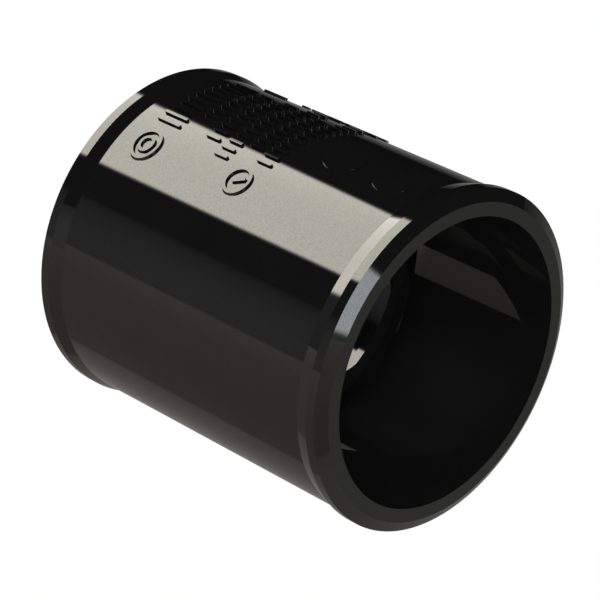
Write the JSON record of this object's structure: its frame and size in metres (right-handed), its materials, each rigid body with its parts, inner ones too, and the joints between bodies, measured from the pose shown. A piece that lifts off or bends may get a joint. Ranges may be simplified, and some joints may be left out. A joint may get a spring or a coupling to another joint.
{
  "type": "pipe coupling",
  "caption": "Straight one-piece plastic pipe coupling: two equal plain sockets that meet at a narrow stop ring, with a bevelled collar round each mouth.",
  "frame": {"origin": "centre of the lower end face, on the axis of the sockets", "axes": "+Z along the axis of the sockets, from the lower mouth to the upper mouth; -Y is the front"},
  "size_m": [0.0474, 0.0474, 0.054],
  "materials": {
    "black_plastic": "moulded, high gloss"
  },
  "bodies": {
    "root": {"coupling_body": "black_plastic"}
  },
  "joints": []
}
